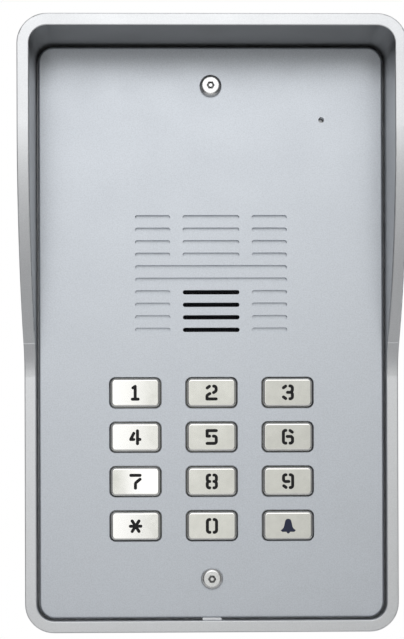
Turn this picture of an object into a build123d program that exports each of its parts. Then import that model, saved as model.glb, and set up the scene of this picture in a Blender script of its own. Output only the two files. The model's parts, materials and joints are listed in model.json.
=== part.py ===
from build123d import *
from math import cos, radians, tan
import os

# Door intercom panel: a deep weather hood closed by a steel front plate that carries a
# loudspeaker grille, a microphone hole and twelve metal keys, with the electronics behind it.
# +Z is up and the panel faces -Y. The origin is the middle of the back, where it meets the wall.
# A "depth" in the names below is a distance out from the wall, so depth d lies at y = -d.

# ---------------------------------------------------------------- driving dimensions, in mm

# Front plate
PLATE_WIDTH = 120.0
PLATE_HEIGHT = 198.6
PLATE_THICK = 3.0
PLATE_CORNER = 5.5
PLATE_EDGE_ROUND = 0.8
PLATE_GAP = 0.5

# Hood housing
WALL = 4.1
HOUSING_CORNER = 10.0
BODY_DEPTH = 32.0
VISOR = 28.4
LIP = 3.2
CHEEK_RADIUS = 20.3
CHEEK_ANGLE = 34.2
CHEEK_FOOT_Z = -15.5
SEAM_RADIUS = 0.2
RIM_EASE = 0.4
LEDGE_REACH = 4.5
LEDGE_THICK = 2.5
CHAMBER_WALL = 6.2
CHAMBER_CORNER = 4.0
LUG_WIDTH = 6.6
LUG_HEIGHT = 0.75
LUG_LENGTH = 2.4
LUG_SETBACK = 0.4
LUG_BEVEL = 0.5

# Seals
FRONT_SEAL_THICK = 1.5
REAR_SEAL_THICK = 1.0
SEAL_MARGIN = 0.5

# Security screws
SECURITY_Z = 85.6
SECURITY_HEAD_DIA = 7.6
SECURITY_FLAT_DIA = 5.2
SECURITY_HEAD_HEIGHT = 1.9
SECURITY_SOCKET_AF = 2.5
SECURITY_SOCKET_DEPTH = 1.3
SECURITY_PIN_DIA = 1.1
M4_RADIUS = 2.0
M4_CLEAR = 2.25
SECURITY_SHANK = 16.0
SECURITY_BOSS_DIA = 10.0
SECURITY_BOSS_DEPTH = 16.0

# M3 hardware
M3_RADIUS = 1.5
M3_CLEAR = 1.65
NUT_ACROSS = 5.5
NUT_THICK = 2.4
THREAD_CLEAR = 0.04
BOSS_FLOOR = 2.0

# Back plate
BACK_THICK = 2.5
BACK_MARGIN = 0.3
WALL_HOLE_RADIUS = 2.25
WALL_HOLES_X = 80.0
WALL_HOLES_Z = 168.0
BACK_SCREWS_X = 104.0
BACK_SCREWS_Z = 182.0
BACK_BOSS_DIA = 8.0
BACK_BOSS_LENGTH = 13.0
BACK_HEAD_RADIUS = 2.9
BACK_SINK_RADIUS = 3.1
BACK_SHANK = 10.5
CABLE_Z = 20.0
CABLE_RADIUS = 4.0
GROMMET_NECK_RADIUS = 6.8
GROMMET_FLANGE_RADIUS = 9.0
GROMMET_FLANGE = 1.0
GROMMET_CLEAR = 0.1

# Grille and microphone
GRILLE_ROWS = 10
GRILLE_TOP_Z = 40.0
GRILLE_PITCH = 4.35
SLOT_HEIGHT = 1.5
SLOT_SHORT = 12.2
SLOT_MIDDLE = 19.7
SLOT_BRIDGE = 4.35
SLOT_SINK = 1.6
FULL_ROWS = (4, 5)
OPEN_ROWS = (6, 7, 8, 9)
MIC_X = 38.5
MIC_Z = 73.8
MIC_HOLE_RADIUS = 1.0
MIC_BOOT_DIA = 13.0
MIC_BOOT_FRONT = 1.0
MIC_CAPSULE_DIA = 9.7
MIC_CAPSULE_LENGTH = 6.7
MIC_FIT = 0.05

# Keys
KEY_PITCH_X = 26.45
KEY_PITCH_Z = 15.4
KEY_TOP_Z = -21.0
KEY_COLUMNS = 3
KEY_ROWS = 4
KEY_WIDTH = 17.0
KEY_HEIGHT = 9.7
KEY_CORNER = 1.6
KEY_PROUD = 1.6
KEY_EDGE_ROUND = 0.7
KEY_GAP = 0.4
KEY_HOLE_CORNER = 2.0
KEY_HOLE_BEVEL = 0.25
KEY_FLANGE_EDGE = 1.1
KEY_FLANGE_THICK = 1.0
KEY_FLANGE_PLAY = 0.1
KEY_STEM_DIA = 5.0
KEY_STEM_LENGTH = 0.65

# Key legends
LEGEND_WIDTH = 4.25
LEGEND_HEIGHT = 5.5
LEGEND_STROKE = 1.08
LEGEND_BREAK = 0.74
LEGEND_BOW_RADIUS = 0.75
LEGEND_SINK = 0.25
STAR_BAR_LENGTH = 3.64
STAR_ARM_LENGTH = 4.3
STAR_ARM_ANGLE = 57.0
BELL_WIDTH = 5.3
BELL_HEIGHT = 4.7
BELL_CROWN = 1.15
BELL_WAIST = 1.4
BELL_RIM_Z = -1.6
BELL_CLAPPER_RADIUS = 0.56

# Keypad behind the plate
KEYPAD_FRAME_THICK = 3.6
KEYPAD_MARGIN = 3.5
POCKET_PLAY = 0.3
MAT_THICK = 1.0
MAT_INSET = 0.8
DOME_BASE_RADIUS = 4.2
DOME_TOP_RADIUS = 3.0
DOME_HEIGHT = 1.8
DOME_CAVITY_RADIUS = 3.4
DOME_CAVITY_TOP = 3.0
DOME_CAVITY_HEIGHT = 0.5
PILL_RADIUS = 2.0
BOARD_THICK = 1.6
KEYPAD_STUD_LENGTH = 9.6

# Loudspeaker
SPEAKER_RADIUS = 18.0
SPEAKER_THROAT = 15.5
SPEAKER_SEAL_THICK = 1.0
MESH_RADIUS = 14.75
MESH_THICK = 0.2
BASKET_RIM = 1.5
BASKET_DEPTH = 5.0
BASKET_WALL = 0.8
BASKET_WINDOW_RADIUS = 1.4
MAGNET_RADIUS = 9.5
MAGNET_LENGTH = 5.5
POLE_RADIUS = 5.0
POLE_HOLE_RADIUS = 5.6
POLE_LENGTH = 1.6
CONE_RIM_RADIUS = 15.4
CONE_FOLD_RADIUS = 13.6
CONE_NECK_RADIUS = 6.2
CONE_SINK = 1.9
CONE_THICK = 0.35
TAG_SIZE = (4.5, 7.0, 1.2)
TAG_OFFSET = 12.9
CLAMP_THICK = 1.2
CLAMP_INNER = 16.6
CLAMP_OUTER = 18.6
CLAMP_LUGS = 3
CLAMP_LUG_ORBIT = 21.5
CLAMP_LUG_RADIUS = 3.6
CLAMP_STUD_LENGTH = 7.5

# Main board and what it carries
MAIN_BOARD_WIDTH = 98.0
MAIN_BOARD_LOW_Z = -76.0
MAIN_BOARD_HIGH_Z = 70.0
MAIN_BOARD_CORNER = 2.0
STANDOFF_LENGTH = 14.0
STANDOFF_BORE = 8.0
STANDOFF_X = 89.0
STANDOFF_LOW_Z = -70.0
STANDOFF_HIGH_Z = 58.0
BOARD_HEAD_RADIUS = 2.75
BOARD_HEAD_HEIGHT = 2.0
BOARD_SHANK = 6.0
TERMINALS = 8
TERMINAL_PITCH = 5.08
TERMINAL_BODY = (8.2, 10.0)
TERMINAL_Z = 44.0
TERMINAL_SCREW_RADIUS = 1.7
TERMINAL_SCREW_SINK = 2.2
TERMINAL_MOUTH = (3.4, 3.6, 4.0)
RELAY_SIZE = (20.0, 10.0, 9.8)
RELAY_PLACE = (-30.0, -12.0)
CAPACITOR_RADIUS = 4.0
CAPACITOR_LENGTH = 9.5
CAPACITOR_PLACES = ((24.0, -12.0), (34.0, -12.0))
CHIP_SIZE = (12.0, 12.0, 1.5)
CHIP_PLACE = (0.0, -34.0)
CHIP_PINS = 11
CHIP_PIN_PITCH = 0.95
CHIP_PIN = (0.45, 1.2, 0.4)
HEADER_SIZE = (15.2, 5.0)
HEADER_WAIST = (13.6, 2.6)
HEADER_Z = -44.0
PLUG_SIZE = (6.5, 6.5, 5.0)
PLUG_RIB = 0.8

# Leads inside the case
LEAD_DIAMETER = 1.0
LEAD_SPACING = 1.6
LEAD_DEPTH = 17.5
LEAD_ARC_SHARE = 0.45

# ---------------------------------------------------------------- worked-out dimensions

OPENING_WIDTH = PLATE_WIDTH + 2 * PLATE_GAP
OPENING_HEIGHT = PLATE_HEIGHT + 2 * PLATE_GAP
OPENING_CORNER = HOUSING_CORNER - WALL
HOUSING_WIDTH = OPENING_WIDTH + 2 * WALL
HOUSING_HEIGHT = OPENING_HEIGHT + 2 * WALL
CHAMBER_WIDTH = HOUSING_WIDTH - 2 * CHAMBER_WALL
CHAMBER_HEIGHT = HOUSING_HEIGHT - 2 * CHAMBER_WALL
MOUTH_WIDTH = OPENING_WIDTH - 2 * LEDGE_REACH
MOUTH_HEIGHT = OPENING_HEIGHT - 2 * LEDGE_REACH

PLATE_BACK = BODY_DEPTH - PLATE_THICK
LEDGE_FACE = PLATE_BACK - FRONT_SEAL_THICK
LEDGE_BACK = LEDGE_FACE - LEDGE_THICK
CHAMBER_START = BACK_THICK + REAR_SEAL_THICK

KEY_FACE = BODY_DEPTH + KEY_PROUD
FLANGE_FACE = PLATE_BACK - KEY_FLANGE_PLAY
FLANGE_BACK = FLANGE_FACE - KEY_FLANGE_THICK
KEY_FLANGE_WIDTH = KEY_WIDTH + 2 * KEY_FLANGE_EDGE
KEY_FLANGE_HEIGHT = KEY_HEIGHT + 2 * KEY_FLANGE_EDGE
KEYPAD_Z = KEY_TOP_Z - KEY_PITCH_Z * (KEY_ROWS - 1) / 2
KEYPAD_BACK = PLATE_BACK - KEYPAD_FRAME_THICK
KEYPAD_WIDTH = KEY_PITCH_X * (KEY_COLUMNS - 1) + KEY_FLANGE_WIDTH + 2 * KEYPAD_MARGIN
KEYPAD_HEIGHT = KEY_PITCH_Z * (KEY_ROWS - 1) + KEY_FLANGE_HEIGHT + 2 * KEYPAD_MARGIN
MAT_BACK = KEYPAD_BACK - MAT_THICK
KEYPAD_BOARD_BACK = MAT_BACK - BOARD_THICK

SPEAKER_Z = GRILLE_TOP_Z - GRILLE_PITCH * (OPEN_ROWS[0] + OPEN_ROWS[-1]) / 2
BASKET_FACE = PLATE_BACK - SPEAKER_SEAL_THICK
BASKET_BACK = BASKET_FACE - BASKET_DEPTH
CLAMP_FACE = BASKET_FACE - BASKET_RIM

MAIN_BOARD_FACE = PLATE_BACK - STANDOFF_LENGTH
MAIN_BOARD_BACK = MAIN_BOARD_FACE - BOARD_THICK
MAIN_BOARD_HEIGHT = MAIN_BOARD_HIGH_Z - MAIN_BOARD_LOW_Z
MAIN_BOARD_Z = (MAIN_BOARD_HIGH_Z + MAIN_BOARD_LOW_Z) / 2
MIC_BACK = PLATE_BACK - MIC_BOOT_FRONT - MIC_CAPSULE_LENGTH
SPEAKER_PLUG = (TAG_OFFSET + 26.4, SPEAKER_Z + 6.0)
MIC_PLUG = (MIC_X, 52.0)

BEHIND = Plane(origin=(0, 0, 0), x_dir=(-1, 0, 0), z_dir=(0, 1, 0))


def level(depth):
    """Plane that faces the visitor, the given depth out from the wall."""
    return Plane.XZ.offset(depth)


def axis_at(x, z):
    """Front-to-back axis through the given place on the panel."""
    return Axis(origin=(x, 0, z), direction=(0, 1, 0))


def save(builder, name):
    """Label the finished piece and write it as its own STEP file."""
    builder.part.label = name
    export_step(builder.part, f"parts/{name}.step")


def across_flats(width):
    """Corner radius of a hexagon of the given width across its flats."""
    return width / 2 / cos(radians(30))


os.makedirs("parts", exist_ok=True)

# ---------------------------------------------------------------- hood housing

rim_foot = (-(BODY_DEPTH + LIP), CHEEK_FOOT_Z)
brow_radius = (VISOR - LIP) / (1 - cos(radians(CHEEK_ANGLE))) - CHEEK_RADIUS

with BuildPart() as hood_housing:
    with BuildSketch(level(0)):
        RectangleRounded(HOUSING_WIDTH, HOUSING_HEIGHT, HOUSING_CORNER)
    extrude(amount=BODY_DEPTH + VISOR)
    with BuildSketch(level(LEDGE_FACE)):
        RectangleRounded(OPENING_WIDTH, OPENING_HEIGHT, OPENING_CORNER)
    extrude(amount=BODY_DEPTH + VISOR, mode=Mode.SUBTRACT)
    # Cut away everything in front of the rim below the visor: straight sides, cheeks and brow.
    with BuildSketch(Plane.YZ):
        with BuildLine():
            Line((rim_foot[0], -HOUSING_HEIGHT), rim_foot)
            cheek = JernArc(rim_foot, (0, 1), CHEEK_RADIUS, CHEEK_ANGLE)
            brow = JernArc(cheek @ 1, cheek % 1, brow_radius, -CHEEK_ANGLE)
            brow_top = brow @ 1
            Polyline(
                brow_top,
                (brow_top.X - WALL, brow_top.Y),
                (brow_top.X - WALL, -HOUSING_HEIGHT),
                (rim_foot[0], -HOUSING_HEIGHT),
            )
        make_face()
    extrude(amount=HOUSING_WIDTH, both=True, mode=Mode.SUBTRACT)
    # Ease both edges of the rim all the way round: the edges that only one rim face has.
    rim_faces = hood_housing.faces().filter_by(
        lambda face: face.normal_at().Y < -0.5 and face.center().Y < -(BODY_DEPTH + LIP / 2)
    )
    rim_side_edges = rim_faces.edges()
    rim_edges = [edge for edge in set(rim_side_edges) if rim_side_edges.count(edge) == 1]
    fillet(rim_edges, RIM_EASE)
    # The chamber behind the ledge, the ledge's mouth and the recess for the back plate.
    with BuildSketch(level(LEDGE_BACK)):
        RectangleRounded(MOUTH_WIDTH, MOUTH_HEIGHT, CHAMBER_CORNER)
    extrude(amount=LEDGE_THICK, mode=Mode.SUBTRACT)
    with BuildSketch(level(CHAMBER_START)):
        RectangleRounded(CHAMBER_WIDTH, CHAMBER_HEIGHT, CHAMBER_CORNER)
    extrude(amount=LEDGE_BACK - CHAMBER_START, mode=Mode.SUBTRACT)
    with BuildSketch(level(0)):
        RectangleRounded(OPENING_WIDTH, OPENING_HEIGHT, OPENING_CORNER)
    extrude(amount=CHAMBER_START, mode=Mode.SUBTRACT)
    # Bosses for the two security screws, webbed to the top and bottom walls.
    boss_web = HOUSING_HEIGHT / 2 - WALL / 2 - SECURITY_Z
    with BuildSketch(level(PLATE_BACK - SECURITY_BOSS_DEPTH)):
        for side in (-1, 1):
            with Locations((0, side * SECURITY_Z)):
                Circle(SECURITY_BOSS_DIA / 2)
            with Locations((0, side * (SECURITY_Z + boss_web / 2))):
                Rectangle(SECURITY_BOSS_DIA, boss_web)
    extrude(amount=LEDGE_FACE - PLATE_BACK + SECURITY_BOSS_DEPTH)
    with BuildSketch(level(LEDGE_FACE)):
        with GridLocations(0, 2 * SECURITY_Z, 1, 2):
            Circle(SECURITY_BOSS_DIA / 2)
    extrude(amount=FRONT_SEAL_THICK)
    with BuildSketch(level(PLATE_BACK)):
        with GridLocations(0, 2 * SECURITY_Z, 1, 2):
            Circle(M4_RADIUS + THREAD_CLEAR)
    extrude(amount=-(SECURITY_BOSS_DEPTH - BOSS_FLOOR), mode=Mode.SUBTRACT)
    # Bosses in the four rear corners for the back plate's screws.
    web_x = HOUSING_WIDTH / 2 - WALL - BACK_SCREWS_X / 2
    web_z = HOUSING_HEIGHT / 2 - WALL - BACK_SCREWS_Z / 2
    with BuildSketch(level(CHAMBER_START)):
        for x_side in (-1, 1):
            for z_side in (-1, 1):
                boss_x = x_side * BACK_SCREWS_X / 2
                boss_z = z_side * BACK_SCREWS_Z / 2
                with Locations((boss_x, boss_z)):
                    Circle(BACK_BOSS_DIA / 2)
                with Locations((boss_x + x_side * web_x / 2, boss_z)):
                    Rectangle(web_x, BACK_BOSS_DIA)
                with Locations((boss_x, boss_z + z_side * web_z / 2)):
                    Rectangle(BACK_BOSS_DIA, web_z)
    extrude(amount=BACK_BOSS_LENGTH)
    with BuildSketch(level(BACK_THICK)):
        with GridLocations(BACK_SCREWS_X, BACK_SCREWS_Z, 2, 2):
            Circle(BACK_BOSS_DIA / 2)
    extrude(amount=REAR_SEAL_THICK)
    with BuildSketch(level(BACK_THICK)):
        with GridLocations(BACK_SCREWS_X, BACK_SCREWS_Z, 2, 2):
            Circle(M3_RADIUS + THREAD_CLEAR)
    extrude(amount=BACK_BOSS_LENGTH - BOSS_FLOOR, mode=Mode.SUBTRACT)
    # Lug in the bottom wall that centres the plate, with one sloping end.
    with BuildSketch(level(BODY_DEPTH - LUG_SETBACK)):
        with BuildLine():
            lug_low = -OPENING_HEIGHT / 2
            lug_high = lug_low + LUG_HEIGHT
            Polyline(
                (-LUG_WIDTH / 2, lug_low),
                (LUG_WIDTH / 2, lug_low),
                (LUG_WIDTH / 2, lug_high - LUG_BEVEL),
                (LUG_WIDTH / 2 - LUG_BEVEL, lug_high),
                (-LUG_WIDTH / 2, lug_high),
                close=True,
            )
        make_face()
    extrude(amount=-LUG_LENGTH)
    # Fine seam across the rim, where the brow of the hood meets the straight sides.
    with BuildSketch(Plane.YZ):
        with Locations(cheek @ 1):
            Circle(SEAM_RADIUS)
    extrude(amount=HOUSING_WIDTH, both=True, mode=Mode.SUBTRACT)
save(hood_housing, "hood_housing")

# ---------------------------------------------------------------- front plate and its seal


def draw_grille(rows, middle_only):
    """Slots of the chosen grille rows, as round-ended slots centred on the panel."""
    full_length = 2 * SLOT_SHORT + 2 * SLOT_BRIDGE + SLOT_MIDDLE
    side_centre = SLOT_MIDDLE / 2 + SLOT_BRIDGE + SLOT_SHORT / 2
    for row in rows:
        row_z = GRILLE_TOP_Z - row * GRILLE_PITCH
        if row in FULL_ROWS:
            with Locations((0, row_z)):
                SlotOverall(full_length, SLOT_HEIGHT)
            continue
        with Locations((0, row_z)):
            SlotOverall(SLOT_MIDDLE, SLOT_HEIGHT)
        if not middle_only:
            with Locations((-side_centre, row_z), (side_centre, row_z)):
                SlotOverall(SLOT_SHORT, SLOT_HEIGHT)


with BuildPart() as front_plate:
    with BuildSketch(level(PLATE_BACK)):
        RectangleRounded(PLATE_WIDTH, PLATE_HEIGHT, PLATE_CORNER)
    extrude(amount=PLATE_THICK)
    fillet(front_plate.edges().group_by(Axis.Y)[0], PLATE_EDGE_ROUND)
    with BuildSketch(level(PLATE_BACK)):
        with GridLocations(0, 2 * SECURITY_Z, 1, 2):
            Circle(M4_CLEAR)
        with Locations((MIC_X, MIC_Z)):
            Circle(MIC_HOLE_RADIUS)
        with Locations((0, KEYPAD_Z)):
            with GridLocations(KEY_PITCH_X, KEY_PITCH_Z, KEY_COLUMNS, KEY_ROWS):
                RectangleRounded(KEY_WIDTH + 2 * KEY_GAP, KEY_HEIGHT + 2 * KEY_GAP, KEY_HOLE_CORNER)
        draw_grille(OPEN_ROWS, middle_only=True)
    extrude(amount=PLATE_THICK, mode=Mode.SUBTRACT)
    with BuildSketch(level(BODY_DEPTH)):
        with Locations((0, KEYPAD_Z)):
            with GridLocations(KEY_PITCH_X, KEY_PITCH_Z, KEY_COLUMNS, KEY_ROWS):
                RectangleRounded(
                    KEY_WIDTH + 2 * (KEY_GAP + KEY_HOLE_BEVEL),
                    KEY_HEIGHT + 2 * (KEY_GAP + KEY_HOLE_BEVEL),
                    KEY_HOLE_CORNER + KEY_HOLE_BEVEL,
                )
    extrude(amount=-KEY_HOLE_BEVEL, taper=45, mode=Mode.SUBTRACT)
    with BuildSketch(level(BODY_DEPTH)):
        draw_grille(range(GRILLE_ROWS), middle_only=False)
    extrude(amount=-SLOT_SINK, mode=Mode.SUBTRACT)
save(front_plate, "front_plate")

with BuildPart() as plate_gasket:
    with BuildSketch(level(LEDGE_FACE)):
        RectangleRounded(
            OPENING_WIDTH - 2 * SEAL_MARGIN,
            OPENING_HEIGHT - 2 * SEAL_MARGIN,
            OPENING_CORNER - SEAL_MARGIN,
        )
        RectangleRounded(
            MOUTH_WIDTH + 2 * SEAL_MARGIN,
            MOUTH_HEIGHT + 2 * SEAL_MARGIN,
            CHAMBER_CORNER,
            mode=Mode.SUBTRACT,
        )
    extrude(amount=FRONT_SEAL_THICK)
save(plate_gasket, "plate_gasket")

with BuildPart() as security_screws:
    head_round = (SECURITY_HEAD_DIA - SECURITY_FLAT_DIA) / 2
    with Locations(level(BODY_DEPTH)):
        with GridLocations(0, 2 * SECURITY_Z, 1, 2):
            Cylinder(
                SECURITY_HEAD_DIA / 2,
                SECURITY_HEAD_HEIGHT,
                align=(Align.CENTER, Align.CENTER, Align.MIN),
            )
    fillet(security_screws.edges().group_by(Axis.Y)[0], head_round)
    with BuildSketch(level(BODY_DEPTH)):
        with GridLocations(0, 2 * SECURITY_Z, 1, 2):
            Circle(M4_RADIUS)
    extrude(amount=-SECURITY_SHANK)
    with BuildSketch(level(BODY_DEPTH + SECURITY_HEAD_HEIGHT)):
        with GridLocations(0, 2 * SECURITY_Z, 1, 2):
            RegularPolygon(across_flats(SECURITY_SOCKET_AF), 6)
            Circle(SECURITY_PIN_DIA / 2, mode=Mode.SUBTRACT)
    extrude(amount=-SECURITY_SOCKET_DEPTH, mode=Mode.SUBTRACT)
save(security_screws, "security_screws")

# ---------------------------------------------------------------- back plate and cable entry

with BuildPart() as back_plate:
    with BuildSketch(level(0)):
        RectangleRounded(
            OPENING_WIDTH - 2 * BACK_MARGIN,
            OPENING_HEIGHT - 2 * BACK_MARGIN,
            OPENING_CORNER - BACK_MARGIN,
        )
        with GridLocations(WALL_HOLES_X, WALL_HOLES_Z, 2, 2):
            Circle(WALL_HOLE_RADIUS, mode=Mode.SUBTRACT)
        with Locations((0, CABLE_Z)):
            Circle(GROMMET_NECK_RADIUS, mode=Mode.SUBTRACT)
    extrude(amount=BACK_THICK)
    with BuildSketch(level(0)):
        with Locations((0, CABLE_Z)):
            Circle(GROMMET_FLANGE_RADIUS + GROMMET_CLEAR)
    extrude(amount=GROMMET_FLANGE, mode=Mode.SUBTRACT)
    with Locations(BEHIND):
        with GridLocations(BACK_SCREWS_X, BACK_SCREWS_Z, 2, 2):
            CounterSinkHole(M3_CLEAR, BACK_SINK_RADIUS, depth=BACK_THICK, counter_sink_angle=90)
save(back_plate, "back_plate")

with BuildPart() as back_gasket:
    with BuildSketch(level(BACK_THICK)):
        RectangleRounded(
            OPENING_WIDTH - 2 * BACK_MARGIN,
            OPENING_HEIGHT - 2 * BACK_MARGIN,
            OPENING_CORNER - BACK_MARGIN,
        )
        RectangleRounded(CHAMBER_WIDTH, CHAMBER_HEIGHT, CHAMBER_CORNER, mode=Mode.SUBTRACT)
    extrude(amount=REAR_SEAL_THICK)
save(back_gasket, "back_gasket")

with BuildPart() as back_plate_screws:
    head_height = BACK_HEAD_RADIUS - M3_RADIUS
    with Locations(BEHIND.offset(-GROMMET_CLEAR)):
        with GridLocations(BACK_SCREWS_X, BACK_SCREWS_Z, 2, 2):
            Cone(
                M3_RADIUS,
                BACK_HEAD_RADIUS,
                head_height,
                align=(Align.CENTER, Align.CENTER, Align.MAX),
            )
            Cylinder(M3_RADIUS, BACK_SHANK, align=(Align.CENTER, Align.CENTER, Align.MAX))
    with BuildSketch(BEHIND.offset(-GROMMET_CLEAR)):
        with GridLocations(BACK_SCREWS_X, BACK_SCREWS_Z, 2, 2):
            Rectangle(BACK_HEAD_RADIUS, M3_RADIUS / 2)
            Rectangle(M3_RADIUS / 2, BACK_HEAD_RADIUS)
    extrude(amount=-head_height, mode=Mode.SUBTRACT)
save(back_plate_screws, "back_plate_screws")

with BuildPart() as cable_grommet:
    with Locations(level(GROMMET_CLEAR)):
        with Locations((0, CABLE_Z)):
            Cylinder(
                GROMMET_FLANGE_RADIUS,
                GROMMET_FLANGE - GROMMET_CLEAR,
                align=(Align.CENTER, Align.CENTER, Align.MIN),
            )
            Cylinder(
                GROMMET_NECK_RADIUS,
                BACK_THICK - GROMMET_CLEAR,
                align=(Align.CENTER, Align.CENTER, Align.MIN),
            )
    with Locations(level(BACK_THICK)):
        with Locations((0, CABLE_Z)):
            Cylinder(
                GROMMET_FLANGE_RADIUS,
                GROMMET_FLANGE,
                align=(Align.CENTER, Align.CENTER, Align.MIN),
            )
    with BuildSketch(level(0)):
        with Locations((0, CABLE_Z)):
            Circle(CABLE_RADIUS)
    extrude(amount=BACK_THICK + GROMMET_FLANGE, mode=Mode.SUBTRACT)
save(cable_grommet, "cable_grommet")

# ---------------------------------------------------------------- keys and their legends

# A digit is drawn in strokes on a box centred on the key. L, R, T and B are the middle of the
# stroke at the box's sides, and the strokes stop at BREAK from the centre as a stencil's do.
# Strokes of three or more points have rounded bends.
L = -(LEGEND_WIDTH - LEGEND_STROKE) / 2
R = -L
B = -(LEGEND_HEIGHT - LEGEND_STROKE) / 2
T = -B
BREAK = LEGEND_BREAK


def turned(stroke):
    """The same stroke after half a turn about the key's centre."""
    return tuple((-x, -z) for x, z in stroke)


def mirrored(stroke):
    """The same stroke on the other side, left for right."""
    return tuple((-x, z) for x, z in stroke)


LEFT_BOW = ((-BREAK, T), (L, T), (L, B), (-BREAK, B))
TOP_LEFT_SLASH = ((-1.5, 1.6), (-BREAK, 2.15))
UPPER_BOW = ((BREAK, T), (R, T), (R, 0), (BREAK, 0))
SIX = (
    LEFT_BOW,
    mirrored(TOP_LEFT_SLASH),
    ((-0.25, 0.1), (R, 0.1), (R, B), (BREAK, B)),
)

GLYPHS = {
    "0": (LEFT_BOW, mirrored(LEFT_BOW)),
    "1": (((0, T), (0, B)), ((-0.75, 1.7), (0, T)), ((-1.0, B), (1.0, B))),
    "2": (
        TOP_LEFT_SLASH,
        ((BREAK, T), (R, T), (R, 0.55), (0.7, 0.0)),
        ((-0.6, -0.35), (L, -0.95), (L, B)),
        ((L, B), (R, B)),
    ),
    "3": (
        TOP_LEFT_SLASH,
        ((BREAK, T), (R, T), (R, 0.5), (0.9, 0)),
        ((-0.1, 0), (R, 0), (R, B), (BREAK, B)),
        mirrored(turned(TOP_LEFT_SLASH)),
    ),
    "4": (
        ((0.75, T), (0.75, B)),
        ((-0.55, 1.35), (L, -0.75)),
        ((L, -0.75), (-0.55, -0.75)),
        ((0.75, -0.75), (R, -0.75)),
    ),
    "5": (
        ((R, T), (L, T)),
        ((L, T), (L, 0.3)),
        ((L, 0.3), (-BREAK, 0.3)),
        ((0.6, 0.3), (R, 0.3), (R, B), (0, B)),
        ((0, B), (L, B)),
    ),
    "6": SIX,
    "7": (((L, T), (R, T)), ((R, 0.85), (0, -0.45), (0, B))),
    "8": (UPPER_BOW, mirrored(UPPER_BOW), turned(UPPER_BOW), mirrored(turned(UPPER_BOW))),
    "9": tuple(turned(stroke) for stroke in SIX),
}


def stroke_line(points):
    """Middle line of one stroke: straight between two points, or bent through more of them."""
    if len(points) == 2:
        return Line(*points)
    return FilletPolyline(*points, radius=LEGEND_BOW_RADIUS)


STROKE_LINES = {
    legend: [stroke_line(points) for points in strokes] for legend, strokes in GLYPHS.items()
}

KEY_LAYOUT = (("1", "2", "3"), ("4", "5", "6"), ("7", "8", "9"), ("star", "0", "bell"))


def draw_star():
    """Star of three crossed bars with round ends."""
    SlotCenterToCenter(STAR_BAR_LENGTH, LEGEND_STROKE)
    for turn in (STAR_ARM_ANGLE, -STAR_ARM_ANGLE):
        SlotCenterToCenter(STAR_ARM_LENGTH, LEGEND_STROKE, rotation=turn)


def bell_outline():
    """Bell seen from the side: a round crown, a waist that flares to the rim, and a clapper."""
    top_z = BELL_HEIGHT / 2
    foot_z = BELL_RIM_Z - BELL_CLAPPER_RADIUS
    with BuildSketch() as bell:
        with BuildLine():
            flank = Spline(
                (0, top_z),
                (BELL_CROWN, top_z - BELL_CROWN),
                (BELL_WAIST, 0.0),
                (BELL_WIDTH / 2, BELL_RIM_Z),
                tangents=((1, 0), (1, -0.6)),
            )
            mirror(flank, Plane.YZ)
            Polyline(
                (BELL_WIDTH / 2, BELL_RIM_Z),
                (BELL_WIDTH / 2 - BELL_CLAPPER_RADIUS, foot_z),
                (BELL_CLAPPER_RADIUS - BELL_WIDTH / 2, foot_z),
                (-BELL_WIDTH / 2, BELL_RIM_Z),
            )
        make_face()
        with Locations((0, foot_z)):
            Circle(BELL_CLAPPER_RADIUS)
    return bell.sketch


def draw_legend(legend):
    """Legend of one key, centred where the key is."""
    if legend == "star":
        draw_star()
    elif legend == "bell":
        add(bell_outline())
    else:
        for line in STROKE_LINES[legend]:
            SlotArc(line, LEGEND_STROKE)


def build_key(legend, x, z):
    """Key cap with its legend sunk in the face, a retaining flange and a stem for the mat."""
    with BuildPart() as key:
        with BuildSketch(level(FLANGE_BACK)):
            with Locations((x, z)):
                RectangleRounded(KEY_WIDTH, KEY_HEIGHT, KEY_CORNER)
        extrude(amount=KEY_FACE - FLANGE_BACK)
        fillet(key.edges().group_by(Axis.Y)[0], KEY_EDGE_ROUND)
        with BuildSketch(level(FLANGE_BACK)):
            with Locations((x, z)):
                RectangleRounded(KEY_FLANGE_WIDTH, KEY_FLANGE_HEIGHT, KEY_CORNER)
        extrude(amount=KEY_FLANGE_THICK)
        with BuildSketch(level(FLANGE_BACK)):
            with Locations((x, z)):
                Circle(KEY_STEM_DIA / 2)
        extrude(amount=-KEY_STEM_LENGTH)
        with BuildSketch(level(KEY_FACE - LEGEND_SINK)):
            with Locations((x, z)):
                draw_legend(legend)
        extrude(amount=LEGEND_SINK, mode=Mode.SUBTRACT)
    save(key, f"key_{legend}")


for row, legends in enumerate(KEY_LAYOUT):
    for column, legend in enumerate(legends):
        build_key(legend, (column - 1) * KEY_PITCH_X, KEY_TOP_Z - row * KEY_PITCH_Z)

# ---------------------------------------------------------------- keypad behind the plate

with BuildPart() as keypad_frame:
    with BuildSketch(level(KEYPAD_BACK)):
        with Locations((0, KEYPAD_Z)):
            RectangleRounded(KEYPAD_WIDTH, KEYPAD_HEIGHT, KEY_HOLE_CORNER)
            with GridLocations(KEY_PITCH_X, KEY_PITCH_Z, KEY_COLUMNS, KEY_ROWS):
                RectangleRounded(
                    KEY_FLANGE_WIDTH + 2 * POCKET_PLAY,
                    KEY_FLANGE_HEIGHT + 2 * POCKET_PLAY,
                    KEY_HOLE_CORNER,
                    mode=Mode.SUBTRACT,
                )
            with GridLocations(KEY_PITCH_X, KEY_PITCH_Z, KEY_COLUMNS - 1, KEY_ROWS - 1):
                Circle(M3_CLEAR, mode=Mode.SUBTRACT)
    extrude(amount=KEYPAD_FRAME_THICK)
save(keypad_frame, "keypad_frame")

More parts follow.
